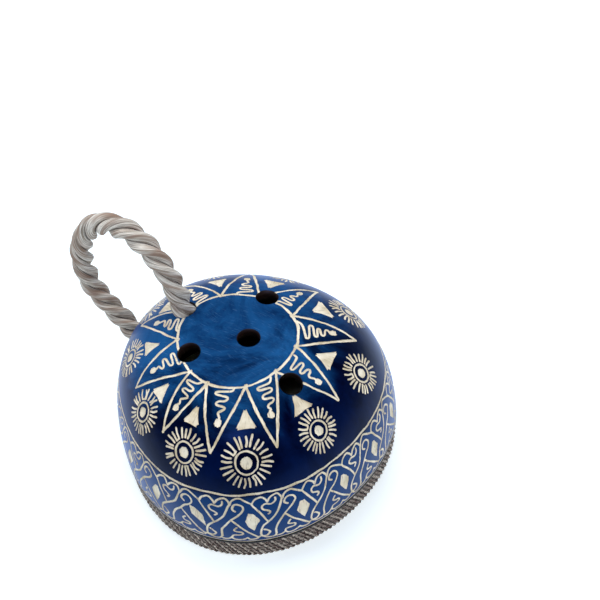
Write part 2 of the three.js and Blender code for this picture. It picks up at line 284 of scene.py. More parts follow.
def whiskers(roots, ways, bends, thickness):
    """Thin loose fibres: each starts at its root, goes its way and bends off, and is a three-sided
    tube that tapers. Returns the points and the faces of them all."""
    t = np.linspace(0, 1, WHISKER_ROWS)[None, :, None]
    lines = roots[:, None] + ways[:, None] * t + bends[:, None] * t**2
    side = np.cross(ways, bends + [0.01, 0.02, 0.03])
    side /= np.linalg.norm(side, axis=1, keepdims=True)
    lift = np.cross(ways, side)
    lift /= np.linalg.norm(lift, axis=1, keepdims=True)
    turn = np.arange(3) * 2 * np.pi / 3
    ring = np.cos(turn)[:, None] * side[:, None] + np.sin(turn)[:, None] * lift[:, None]
    points = lines[:, :, None] + ring[:, None] * (thickness / 2 * (1.05 - t))[..., None]
    size = 3 * WHISKER_ROWS
    first = size * np.arange(len(roots))[:, None, None]
    sides = (tube_faces(WHISKER_ROWS, 3) + first).reshape(-1, 4).tolist()
    ends = (np.array([[2, 1, 0], [size - 3, size - 2, size - 1]]) + first).reshape(-1, 3).tolist()
    return points.reshape(-1, 3), sides + ends


# Loose hairs of the rope, a few millimetres long, that stand off its strands.
ROPE_HAIRS = 190
picked = chance.integers(20, rope_rows - 20, ROPE_HAIRS)
columns = chance.integers(0, rope_round, ROPE_HAIRS)
hair_roots = rope_grid[picked, columns]
hair_out = hair_roots - rope_line[picked]
hair_out /= np.linalg.norm(hair_out, axis=1, keepdims=True)
hair_along = rope_grid[picked + 8, columns] - hair_roots
hair_lengths = chance.uniform(0.5, 1.9, (ROPE_HAIRS, 1))
hair_ways = hair_along * hair_lengths + hair_out * chance.uniform(0.1, 1.0, (ROPE_HAIRS, 1))
hair_bends = chance.normal(0, 0.9, (ROPE_HAIRS, 3))
hair_bends -= hair_out * chance.uniform(0, 0.8, (ROPE_HAIRS, 1))
hair_points, hair_faces = whiskers(hair_roots - 0.15 * hair_out, hair_ways, hair_bends, 0.16)
rope_hairs = new_piece("rope_handle_hairs", hair_points, hair_faces, None, [rope_fibre])
mark_points(rope_hairs, "strand", hair_points * 0.3)

# The shell: half a coconut, scraped, sprayed with dark blue lacquer and polished. The carving is
# cut through the lacquer down to the cream shell with a small gouge, and sound holes are drilled
# through the crown. The nut is a dome whose outline is a superellipse, with three soft ridges.
SHELL_RADIUS = 65
CROWN_HEIGHT = 72.3
WAIST_HEIGHT = 7.8
SIDE_POWER = 3.4
CROWN_POWER = 2.55
WALL = 5
RIDGE_SHARE = 0.032
RIDGE_AZIMUTH = np.radians(48.5)
LEAN_SHARE = 0.051
LEAN_AZIMUTH = np.radians(218)
SEAT_TOP = 13.2
SEAT_STEP = 3.4
SEAT_STEP_HEIGHT = 0.6
SEAT_TAPER = 0.6
SEAT_WALL = 2
SHELL_FOOT = 0.9
CUT_DEPTH = 0.3

quarter = np.linspace(0, np.pi / 2, 6001)
dome_radii = SHELL_RADIUS * np.sin(quarter) ** (2 / SIDE_POWER)
dome_heights = WAIST_HEIGHT + (CROWN_HEIGHT - WAIST_HEIGHT) * np.cos(quarter) ** (2 / CROWN_POWER)
dome_reaches = np.concatenate([[0], np.cumsum(np.hypot(np.diff(dome_radii), np.diff(dome_heights)))])


def on_nut(azimuth, radius, height):
    """A point of the plain round form, moved to where it lies on the ridged, leaning nut."""
    ridged = radius * (1 + RIDGE_SHARE * np.cos(3 * (azimuth - RIDGE_AZIMUTH)))
    x = ridged * np.cos(azimuth) + LEAN_SHARE * np.cos(LEAN_AZIMUTH) * height
    y = ridged * np.sin(azimuth) + LEAN_SHARE * np.sin(LEAN_AZIMUTH) * height
    return np.stack(np.broadcast_arrays(x, y, height), axis=-1)


def on_dome(chart, sunk=0.0):
    """A place on the chart is as far from its middle as the point on the dome is from the crown,
    measured along the surface. Sunk moves the dome inwards by that many millimetres."""
    azimuth = np.arctan2(chart[..., 1], chart[..., 0])
    reach = np.hypot(chart[..., 0], chart[..., 1])
    shrink = (SHELL_RADIUS - sunk) / SHELL_RADIUS
    height = WAIST_HEIGHT + (np.interp(reach, dome_reaches, dome_heights) - WAIST_HEIGHT) * shrink
    return on_nut(azimuth, np.interp(reach, dome_reaches, dome_radii) * shrink, height)


def dome_normals(chart):
    """The dome's outward normals, from steps of half a millimetre each way on the chart."""
    right, back = np.array([0.5, 0]), np.array([0, 0.5])
    normals = np.cross(
        on_dome(chart + right) - on_dome(chart - right), on_dome(chart + back) - on_dome(chart - back)
    )
    return normals / np.linalg.norm(normals, axis=-1, keepdims=True)


# The carving is laid out on the chart as tiles, each a list of corners. A figure is drawn in its
# own frame, across to the left of its azimuth and then reach from the crown, and placed from there.
STAR_LINE = 1.08
BAND_LINE = 0.92
BAND_RADIUS = 64.3
SLIVER = 0.003
carving = []


def full_turn(count):
    """Even angles round a full turn."""
    return np.linspace(0, 2 * np.pi, count, endpoint=False)


def heading(turn):
    """The unit vector at an angle, or one for each of many."""
    return np.stack([np.cos(turn), np.sin(turn)], axis=-1)


def star_frame(azimuth):
    """Places a figure of the star, whose frame is the flat chart turned to the azimuth."""
    turn = np.array([[-np.sin(azimuth), np.cos(azimuth)], [np.cos(azimuth), np.sin(azimuth)]])
    return lambda points: points @ turn


def band_frame(azimuth):
    """Places a figure of the band, whose frame is wrapped round the side at the band's radius."""
    return lambda points: points[..., 1:] * heading(azimuth + points[..., 0] / BAND_RADIUS)


def cut(tiles, place):
    """Adds tiles, an array of polygons of as many corners each, and leaves slivers out."""
    placed = place(np.asarray(tiles, float))
    x, y = placed[..., 0], placed[..., 1]
    area = (x * np.roll(y, -1, axis=1) - y * np.roll(x, -1, axis=1)).sum(axis=1) / 2
    carving.append(placed[np.abs(area) > SLIVER])


def groove(points, width, place, waver=0.1):
    """Cuts a line of the width through the points: two tiles from each sample to the next, and a
    round one at both ends. The hand wavers a little, in place and in width."""
    line = smooth_line(points, 0.55)
    shakes = chance.normal(0, waver, (len(line) + 6, 3))
    shakes = sum(shakes[k:k + len(line)] for k in range(7)) / 7**0.5
    line = line + shakes[:, :2]
    ahead = np.gradient(line, axis=0)
    half = width / 2 * (1 + np.clip(1.2 * shakes[:, 2:], -0.25, 0.25))
    side = np.stack([-ahead[:, 1], ahead[:, 0]], axis=1)
    side *= half / np.linalg.norm(side, axis=1, keepdims=True)
    left, right = line + side, line - side
    cut(np.stack([right[:-1], right[1:], left[1:]], axis=1), place)
    cut(np.stack([right[:-1], left[1:], left[:-1]], axis=1), place)
    ring = heading(np.arange(8) * np.pi / 4)
    cut(line[[0, -1], None] + half[[0, -1], None] * ring, place)


def patch(corners, place, bow=0.0):
    """Clears a patch with the corners: each side bows inwards a little, and its edge is uneven."""
    corners = np.asarray(corners, float)
    after = np.roll(corners, -1, axis=0)
    t = np.linspace(0, 1, 5, endpoint=False)[:, None, None]
    middle = corners.mean(axis=0)
    edge = corners * (1 - t) + after * t
    edge = edge + (middle - edge) * bow * (4 * t * (1 - t))
    edge = edge.transpose(1, 0, 2).reshape(-1, 2)
    edge = edge + chance.normal(0, 0.07, edge.shape)
    fan = np.stack([edge, np.roll(edge, -1, axis=0), np.broadcast_to(middle, edge.shape)], axis=1)
    cut(fan, place)


# The star: a ring round the plain disc at the crown, and ten rays whose sides bow outwards. The
# azimuths are uneven because it was all done by eye.
DISC_RADIUS = 26.2
DISC_OFFSET = 2.54
DISC_OFFSET_AZIMUTH = np.radians(206.5)
RAY_FEET = np.radians([60, 17.4, -21.7, -54.4, -89.4, -110, -149.8, -182.7, -217.2, -255])
RAY_TIPS = np.radians([36.3, -2.9, -43, -73.5, -99.2, -129.7, -170, -202, -240.5, -283.1])
RAY_TIP_REACHES = [50, 51.8, 53.5, 53.8, 54.7, 54.5, 52.9, 52, 53, 48.1]
RAY_BOW = 1.0
RAY_SIDE = [(-0.02, 0), (0.25, 0.75), (0.5, 1), (0.78, 0.7)]

flat_frame = star_frame(np.pi / 2)


def disc_edge(azimuth):
    """The chart's points on the ring, a circle set a little off the crown."""
    reach = DISC_RADIUS + DISC_OFFSET * np.cos(azimuth - DISC_OFFSET_AZIMUTH)
    return np.stack([-reach * np.cos(azimuth), reach * np.sin(azimuth)], axis=-1)


groove(disc_edge(np.linspace(0, 2 * np.pi, 60)), STAR_LINE, flat_frame)
for foot, next_foot, tip, tip_reach in zip(
    RAY_FEET, np.roll(RAY_FEET, -1), RAY_TIPS, RAY_TIP_REACHES
):
    point = tip_reach * np.array([-np.cos(tip), np.sin(tip)])
    feet = disc_edge(np.array([foot, next_foot]))
    for start, other in (feet, feet[::-1]):
        way = point - start
        out = np.array([-way[1], way[0]]) / np.hypot(*way)
        out *= -np.sign(out @ (other - start)) * RAY_BOW * chance.uniform(0.6, 1.3)
        side = [start + share * way + bow * out for share, bow in RAY_SIDE]
        groove([*side, point], STAR_LINE, flat_frame)

# A squiggle hangs from the ring into each ray, and ends in a blob. It is given by where it starts,
# the points at which it turns back, and the blob's place, in the ray's frame.
SQUIGGLES = [
    [(6.5, 23.6), (4.0, 25.6), (-3.2, 27.2), (4.0, 29.2), (-2.3, 31.2), (2.5, 32.2), (-1.6, 34.2),
     (2.2, 35.8), (0.8, 38.6)],
    [(4.0, 24.6), (3.2, 26.4), (-3.0, 28.2), (2.8, 29.8), (-2.0, 32.3), (2.0, 34.0), (-1.2, 36.3),
     (-0.2, 40.3)],
    [(6.0, 24.9), (4.6, 27.0), (-1.0, 28.2), (4.8, 30.2), (0.0, 32.5), (4.3, 34.6), (1.0, 37.0),
     (1.3, 40.5)],
    [(4.0, 25.9), (3.2, 27.6), (-2.8, 29.7), (2.6, 31.0), (-1.5, 34.1), (2.6, 35.4), (0.3, 37.7),
     (1.1, 41.6)],
    [(2.6, 28.1), (1.2, 29.8), (-3.5, 31.4), (1.8, 33.0), (-2.5, 35.4), (2.0, 36.8), (-0.3, 39.3),
     (0.0, 43.0)],
    [(3.2, 27.8), (3.5, 30.0), (-3.8, 31.8), (2.2, 33.6), (-3.0, 36.2), (1.5, 38.0), (-0.9, 39.8),
     (-0.6, 42.5)],
    [(5.5, 28.3), (4.2, 29.8), (-1.5, 31.0), (4.8, 33.0), (-0.8, 34.9), (3.5, 36.0), (0.0, 37.8),
     (1.2, 41.5)],
    [(4.6, 27.6), (3.4, 29.2), (-2.6, 30.6), (3.4, 32.3), (-1.9, 34.2), (2.6, 35.6), (0.2, 37.4),
     (0.6, 41.0)],
    [(4.2, 26.2), (3.4, 28.0), (-3.1, 29.6), (3.0, 31.2), (-2.2, 33.2), (2.3, 34.8), (-0.6, 37.0),
     (0.4, 40.8)],
    [(4.0, 24.8), (3.4, 26.6), (-2.0, 28.0), (4.4, 29.4), (-0.5, 31.6), (3.0, 33.4), (0.8, 35.0),
     (1.8, 38.0)],
]
TURN_WIDTH = 0.9
TURN_HEIGHT = 0.42
SQUIGGLE_LINE = 0.98
BLOB_NECK = 1.6
BLOB_RADIUS = 1.55
BLOB_CORNERS = 9

for tip, squiggle in zip(RAY_TIPS, SQUIGGLES):
    place = star_frame(tip)
    bends, blob = [], np.array(squiggle[-1])
    for before, here, after in zip(squiggle, squiggle[1:], squiggle[2:]):
        side = np.sign(here[0] - before[0])
        if side * (here[0] - after[0]) > 0:
            inward = here[0] - TURN_WIDTH * side
            bends.append((inward, here[1] - TURN_HEIGHT * (here[1] - before[1])))
            bends.append(here)
            bends.append((inward, here[1] + TURN_HEIGHT * (after[1] - here[1])))
        else:
            bends.append(here)
    groove([squiggle[0], *bends, blob - [0, BLOB_NECK], blob], SQUIGGLE_LINE, place, waver=0.05)
    turn = full_turn(BLOB_CORNERS)
    radius = BLOB_RADIUS * chance.uniform(0.85, 1.15, BLOB_CORNERS)
    patch(blob + np.stack([radius * np.cos(turn), 1.1 * radius * np.sin(turn)], axis=1), place)

# Between the rays stand wedges cleared down to the shell, their tips toward the disc.
WEDGES = np.radians([58.9, 15.4, -22.7, -56.3, -86.8, -113.9, -149.2, -182, -220.3, -258.5])
WEDGE_REACHES = [33.6, 32.9, 37.5, 35.8, 37.6, 38.5, 37.4, 36, 34.5, 34]
WEDGE_WIDTHS = [11.7, 11, 10.3, 8.4, 7.2, 8.9, 8.5, 9, 9.2, 10.7]
WEDGE_LENGTH = 7.4
WEDGE_TIP = 0.5
WEDGE_CORNER = 0.6
WEDGE_BULGE = 0.7

for azimuth, reach, width in zip(WEDGES, WEDGE_REACHES, WEDGE_WIDTHS):
    base, half, skew = reach + WEDGE_LENGTH, width / 2, chance.normal(0, 0.35, 3)
    corners = [(-WEDGE_TIP, reach), (WEDGE_TIP, reach), (half, base + skew[0])]
    corners += [(half - WEDGE_CORNER, base + WEDGE_BULGE), (WEDGE_CORNER - half, base + WEDGE_BULGE)]
    patch([*corners, (-half, base + skew[1])], star_frame(azimuth), bow=0.1)

# Outside each wedge is a sun: a dot, a ring and two dozen short strokes. Where the gouge slipped, a
# short cut links a stroke's foot to the next one's.
SUNS = np.radians([58.3, 18.8, -21.1, -57.5, -85.6, -115.7, -150.6, -182.4, -220.3, -261.2])
SUN_REACHES = [54, 55, 55.8, 57.4, 57.3, 56.5, 56.2, 56, 56, 55]
SUN_SCALES = [1, 1, 1, 1.16, 1.04, 1, 1, 1, 1, 1]
SUN_DOT = 2.25
SUN_RING = 4.25
SUN_STROKE_FROM = 5.75
SUN_STROKE_TO = 9.5
SUN_STROKES = 25
SUN_LINE = 0.9
LINK_EVERY = 11
LINK_AT = 4
LINK_REACH = 0.97
LINK_LINE = 0.8

for azimuth, reach, scale in zip(SUNS, SUN_REACHES, SUN_SCALES):
    place, middle = star_frame(azimuth), np.array([0, reach])
    around = heading(np.linspace(0, 2 * np.pi, 15))
    patch(middle + scale * SUN_DOT * around[:-1] * chance.uniform(0.93, 1.07, (14, 1)), place)
    groove(middle + scale * SUN_RING * around, SUN_LINE, place)
    strokes = (np.arange(SUN_STROKES) + chance.normal(0, 0.13, SUN_STROKES)) * 2 * np.pi / SUN_STROKES
    for number, turn in enumerate(strokes):
        way = heading(turn)
        near, far = scale * np.array([SUN_STROKE_FROM, SUN_STROKE_TO]) * chance.uniform(0.95, 1.05, 2)
        side = np.array([-way[1], way[0]]) * chance.normal(0, 0.22)
        stroke = [middle + near * way, middle + (near + far) / 2 * way + side, middle + far * way]
        groove(stroke, SUN_LINE, place, waver=0.03)
        if number % LINK_EVERY == LINK_AT:
            next_turn = strokes[number + 1]
            bend = middle + LINK_REACH * near * heading((turn + next_turn) / 2)
            groove([stroke[0], bend, middle + near * heading(next_turn)], LINK_LINE, place)

# The band round the side repeats one scroll eighteen times between a wavering line and a border of
# spikes: a solid diamond, scallops over it, a heart with an S in it, and a ribbon with a loop.
BAND_REACH = 71.8
BAND_TOP_LINE = 1.0
DIAMONDS = 18
DIAMOND_AZIMUTH = np.radians(-58.1)
DIAMOND_MIDDLE = 87.5
DIAMOND = np.array(
    [(-0.9, 82.1), (0.7, 82.2), (2.8, 86.4), (1.9, 89.2), (0.1, 93.2), (-1.2, 90.8), (-3.0, 86.8)]
)
SCROLLS = [
    [(0.7, 76.9), (2.4, 74.6), (4.9, 73.6), (6.6, 75.0), (7.4, 76.7)],
    [(7.4, 76.7), (9.2, 74.4), (12.0, 73.6), (13.4, 75.2), (14.0, 76.9)],
    [(14.0, 76.9), (15.4, 74.6), (17.8, 73.6), (20.8, 75.2), (23.1, 76.9)],
    [(0.7, 76.9), (1.3, 77.9), (2.8, 80.8), (4.9, 84.6), (6.5, 88.5)],
    [(13.8, 76.7), (13.0, 78.7), (11.5, 82.8), (9.5, 85.7), (6.5, 88.6), (4.0, 91.5), (2.8, 94.8),
     (2.8, 97.8)],
    [(2.8, 97.9), (5.0, 98.0), (6.5, 96.1), (5.4, 94.4), (4.4, 93.6)],
    [(15.9, 80.6), (14.7, 79.3), (15.4, 77.4), (17.2, 76.6), (19.0, 77.6), (19.5, 79.4),
     (18.2, 81.5), (16.1, 83.6), (14.0, 85.9), (11.5, 89.4), (9.9, 92.3), (9.3, 94.8), (9.1, 97.8)],
    [(14.0, 86.1), (17.0, 90.3), (19.9, 94.0), (23.6, 98.2)],
    [(10.9, 75.4), (10.8, 77.0), (9.0, 78.4), (6.5, 77.9), (4.9, 79.0), (5.4, 80.7), (7.4, 81.7),
     (8.4, 82.6), (7.3, 83.7)],
    [(-6.8, 91.1), (-8.0, 93.0), (-6.9, 94.0), (-5.3, 94.4), (-4.7, 95.5), (-6.0, 96.3),
     (-8.4, 96.5), (-9.5, 98.2)],
    [(-13.2, 99.6), (-11.2, 99.6), (-9.5, 98.2)],
    [(-9.5, 98.2), (-8.2, 99.6), (-6.4, 100.0), (-4.4, 99.6), (-3.0, 98.4)],
    [(-3.0, 98.4), (-2.0, 99.4), (-0.5, 99.7), (1.0, 99.2), (1.8, 98.2)],
    [(1.8, 98.2), (3.0, 98.0), (5.3, 99.6), (8.0, 99.2), (9.3, 97.6)],
]

along = np.linspace(0, 2 * np.pi * BAND_RADIUS, 120)
waver = 0.3 * np.sin(along / 11) + 0.2 * np.sin(along / 4.7)
waver *= np.sin(along / along[-1] * np.pi) ** 0.3
groove(np.stack([along, BAND_REACH + waver], axis=1), BAND_TOP_LINE, band_frame(0))
for repeat in range(DIAMONDS):
    place = band_frame(DIAMOND_AZIMUTH + 2 * np.pi / DIAMONDS * repeat)
    corners = DIAMOND + chance.normal(0, 0.25, DIAMOND.shape)
    corners[:, 0] += chance.normal(0, 0.14) * (corners[:, 1] - DIAMOND_MIDDLE)
    patch(corners, place)
    for scroll in SCROLLS:
        held = chance.normal(0, 0.12, (len(scroll), 2))
        held[[0, -1]] = 0
        groove(np.array(scroll) + held, BAND_LINE, place, waver=0.06)

# The drilled holes: four sound holes along the surface's normal, and two along the rope.
SOUND_HOLE = 10.4
SOUND_HOLE_CENTRES = np.array([[2.8, 0.7], [-3.6, 26.6], [-16.2, -18.6], [31, -10.4]])
ROPE_HOLE = 10.6
ROPE_HOLE_POINTS = (2, 17)
HOLE_POINTS = 48


def hole_outline(middle, axis_point, axis, radius):
    """Where a drill of the radius about the axis leaves the dome, as points of the chart: each goes
    out from the middle until it is one radius off the axis."""
    way = heading(full_turn(HOLE_POINTS))
    out = np.full((HOLE_POINTS, 1), float(radius))
    for _ in range(12):
        arm = on_dome(middle + out * way) - axis_point
        off = np.linalg.norm(arm - (arm @ axis)[:, None] * axis, axis=1, keepdims=True)
        out *= radius / off
    return middle + out * way


def where_drilled(points, axis, sunk):
    """The places on the chart where lines along the axis, through the points, meet the sunk dome:
    each step takes back most of what is still missed across the axis."""
    place, across = points[:, :2].copy(), np.eye(3) - np.outer(axis, axis)
    for _ in range(60):
        steps = [on_dome(place + d, sunk) - on_dome(place - d, sunk) for d in 0.5 * np.eye(2)]
        miss = across @ (points - on_dome(place, sunk))[..., None]
        place += 0.6 * (np.linalg.pinv(across @ np.stack(steps, axis=-1)) @ miss)[..., 0]
    return place


drills = []
for flat in SOUND_HOLE_CENTRES:
    radius = np.hypot(*flat)
    middle = flat / radius * np.interp(radius, dome_radii, dome_reaches)
    drills.append((on_dome(middle), dome_normals(middle), SOUND_HOLE / 2))
for point in ROPE_HOLE_POINTS:
    line = [np.array([-out, 0, height]) for out, height in ROPE_LINE[point - 1:point + 2]]
    axis = (line[2] - line[0]) / np.linalg.norm(line[2] - line[0])
    drills.append((line[1], axis if axis[2] > 0 else -axis, ROPE_HOLE / 2))

# The dome's edge: below the band come a hairline cut round the rim and a near-black strip, whose
# black goes on into the top of the seat's step as painted shade in the recess above the twine; then
# the seat filed for the skin, the foot and the inside of the wall.
DOME_END = 100.9
RIM_POINTS = 360
CELLS_PER_ROW = 4096


def inside_any(polygons, places):
    """Which of the places on the chart are inside one of the polygons, by a ray straight down."""
    corners, faces, start = [], [], 0
    for group in polygons:
        faces += (start + np.arange(group[..., 0].size).reshape(group.shape[:2])).tolist()
        start += group[..., 0].size
        corners += np.pad(group.reshape(-1, 2), ((0, 0), (0, 1))).tolist()
    if not faces:
        return np.zeros(len(places), bool)
    tree, down = BVHTree.FromPolygons(corners, faces), Vector((0, 0, -1))
    return np.array([tree.ray_cast((x, y, 1), down)[0] is not None for x, y in places.tolist()])


def triangulated(edge_reach, tiles, holes, spacing):
    """Triangles on the chart that follow every tile's edge and every hole's outline, with fill
    points between. Returns the points, the triangles, which of them are cut and which are in a
    hole, the numbers of the rim's points, and those of the holes' points."""
    rim = edge_reach * heading(full_turn(RIM_POINTS))
    polygons = [*(hole[None] for hole in holes), *tiles]
    fixed = np.vstack([rim, *(group.reshape(-1, 2) for group in polygons)])
    axis = np.arange(-edge_reach, edge_reach, spacing)
    fill = np.stack(np.meshgrid(axis, axis), axis=-1)
    fill[::2, :, 0] += spacing / 2
    fill = fill.reshape(-1, 2)
    fill = fill[np.hypot(*fill.T) < edge_reach - 0.7 * spacing]
    cell, code = spacing * 0.5, [CELLS_PER_ROW, 1]
    taken = np.floor(fixed / cell).astype(int)
    taken = [(taken + [i, j]) @ code for i in (-1, 0, 1) for j in (-1, 0, 1)]
    fill = fill[~np.isin(np.floor(fill / cell).astype(int) @ code, taken)]
    edges, start = [], RIM_POINTS
    for group in polygons:
        numbers = start + np.arange(group[..., 0].size).reshape(group.shape[:2])
        edges += np.stack([numbers, np.roll(numbers, -1, axis=1)], axis=-1).reshape(-1, 2).tolist()
        start += group[..., 0].size
    points = [Vector(point) for point in np.vstack([fixed, fill]).tolist()]
    made = delaunay_2d_cdt(points, edges, [], 0, 1e-4, True)
    placed, triangles = np.array([tuple(v) for v in made[0]]), np.array(made[2])
    middles = placed[triangles].mean(axis=1)
    in_hole = inside_any(polygons[:len(holes)], middles)
    is_cut = inside_any(tiles, middles) & ~in_hole
    numbers = np.empty(len(points), int)
    for number, given in enumerate(made[3]):
        numbers[given] = number
    rim, hole_points, _ = np.split(numbers, np.cumsum([RIM_POINTS, sum(map(len, holes))]))
    return placed, triangles, is_cut, in_hole, rim, hole_points


def edges_between(triangles, inside, outside):
    """The edges of the triangles inside, each in its own direction, that border one outside."""
    count = triangles.max() + 1
    ends = np.stack([triangles, np.roll(triangles, -1, axis=1)], axis=-1).reshape(-1, 2)
    owner = np.repeat(np.arange(len(triangles)), 3)
    codes = ends @ [count, 1]
    order = np.argsort(codes)
    twins = ends @ [1, count]
    found = order[np.minimum(np.searchsorted(codes[order], twins), len(codes) - 1)]
    paired = codes[found] == twins
    border = paired & inside[owner] & outside[owner[found]]
    return ends[border], owner[border]


hole_middles = np.array([where_drilled(point[None], axis, 0)[0] for point, axis, _ in drills])
hole_edges = [hole_outline(middle, *drill) for middle, drill in zip(hole_middles, drills)]
chart, triangles, is_cut, in_hole, rim, _ = triangulated(DOME_END, carving, hole_edges, 2.0)
top = on_dome(chart)
normals = dome_normals(chart)
depth = CUT_DEPTH * (1 + 0.2 * np.sin(chart[:, :1] * 1.7) * np.sin(chart[:, 1:] * 1.3))
shell_points = [top, top - depth * normals]
shell_faces, shell_materials, shell_shading = [], [], []
count = len(chart)
LACQUER, BARE, INSIDE, BLACK, FLAT = 0, 1, 2, 3, None


def add_faces(faces, material, shading=FLAT):
    """Adds faces of the shell with their material, and normals for their corners unless flat."""
    shell_faces.append(np.asarray(faces))
    shell_materials.extend([material] * len(faces))
    if shading is FLAT:
        shell_shading.append(np.zeros((np.size(faces), 3)))
    else:
        shell_shading.append(shading[np.asarray(faces).ravel()])


both_normals = np.vstack([normals, normals])
add_faces(triangles[~is_cut & ~in_hole], LACQUER, both_normals)
add_faces(triangles[is_cut] + count, BARE, both_normals)
ends, _ = edges_between(triangles, is_cut, ~is_cut & ~in_hole)
add_faces(np.column_stack([ends, ends[:, ::-1] + count]), BARE)

# The bores' walls run along the drill from each hole's edge to the inside of the shell.
ends, owner = edges_between(triangles, ~in_hole, in_hole)
nearest = np.linalg.norm(chart[ends[:, 0], None] - hole_middles, axis=2).argmin(axis=1)
bore_points, inner_holes = [], []
for number, (_, axis, _) in enumerate(drills):
    around = np.unique(ends[nearest == number])
    around = around[np.argsort(np.arctan2(*(chart[around] - hole_middles[number]).T))]
    bore_points.append(around)
    inner_holes.append(where_drilled(top[around], axis, WALL))

# The inside of the wall, its faces turned to the chamber.
made = 2 * count
inner_end = np.interp(SEAT_TOP, dome_heights[::-1], dome_reaches[::-1])
inner_chart, inner_triangles, _, inner_hole, inner_rim, inner_edges = triangulated(
    inner_end, [], inner_holes, 5.0
)
inner_normals = np.zeros((made + len(inner_chart), 3))
inner_normals[made:] = -dome_normals(inner_chart)
shell_points.append(on_dome(inner_chart, WALL))
add_faces(inner_triangles[~inner_hole][:, ::-1] + made, INSIDE, inner_normals)
bore_ends = np.zeros(count, int)
bore_ends[np.concatenate(bore_points)] = inner_edges + made
from_edge = ends + np.where(is_cut[owner], count, 0)[:, None]
add_faces(np.column_stack([from_edge[:, ::-1], bore_ends[ends]]), INSIDE)

# Where a cut runs into a hole, a thin triangle closes the step between its floor and the surface.
leaves_low = np.zeros(count, bool)
leaves_low[ends[:, 0]] = is_cut[owner]
leaving = ends[:, 1] + np.where(leaves_low[ends[:, 1]], count, 0)
steps = np.column_stack([from_edge[:, 1], bore_ends[ends[:, 1]], leaving])
add_faces(steps[leaving != from_edge[:, 1]], INSIDE)


def seat_radius(height):
    """The filed seat's radius: a rounded step in from the dome, then a slight taper to the mouth."""
    share = np.clip((SEAT_TOP - height) / SEAT_STEP_HEIGHT, 0, 1)
    step = SEAT_STEP * share**2 * (3 - 2 * share)
    taper = SEAT_TAPER * (SEAT_TOP - height) / SEAT_TOP
    return np.interp(SEAT_TOP, dome_heights[::-1], dome_radii[::-1]) - step - taper


HAIRLINE_END = 101.4
HAIRLINE_DEPTH = 0.3
STRIP_MIDDLE = 102.2
EDGE_ROUNDING = 0.15
rim_reaches = np.array(
    [DOME_END, DOME_END, HAIRLINE_END, HAIRLINE_END, STRIP_MIDDLE, inner_end - 0.6,
     inner_end - EDGE_ROUNDING]
)
rim_sunk = np.array([0, HAIRLINE_DEPTH, HAIRLINE_DEPTH, 0, 0, 0, EDGE_ROUNDING])
rim_radii = np.interp(rim_reaches, dome_reaches, dome_radii) - rim_sunk
rim_heights = np.interp(rim_reaches, dome_reaches, dome_heights)
seat_heights = np.array(
    [SEAT_TOP - SEAT_STEP_HEIGHT / 2, SEAT_TOP - SEAT_STEP_HEIGHT, 7, SHELL_FOOT + 0.3, SHELL_FOOT]
)
foot_radius = seat_radius(SHELL_FOOT)
rim_radii = np.concatenate([rim_radii, seat_radius(seat_heights), [foot_radius - SEAT_WALL]])
rim_heights = np.concatenate([rim_heights, seat_heights, [SHELL_FOOT]])
# The fourth black row is the top of the seat's step: painted shade in the recess above the twine.
rim_looks = [BARE] * 3 + [BLACK] * 4 + [INSIDE] * 6
rim_grid = on_nut(full_turn(RIM_POINTS), rim_radii[:, None], rim_heights[:, None])
shell_points.append(rim_grid[1:].reshape(-1, 3))
rim_rows = made + len(inner_chart) + np.arange(rim_grid[1:, :, 0].size).reshape(-1, RIM_POINTS)
rim_numbers = [rim, *rim_rows, inner_rim + made]
for upper, lower, look in zip(rim_numbers[:-1], rim_numbers[1:], rim_looks):
    add_faces(np.column_stack([lower, np.roll(lower, -1), np.roll(upper, -1), upper]), look)


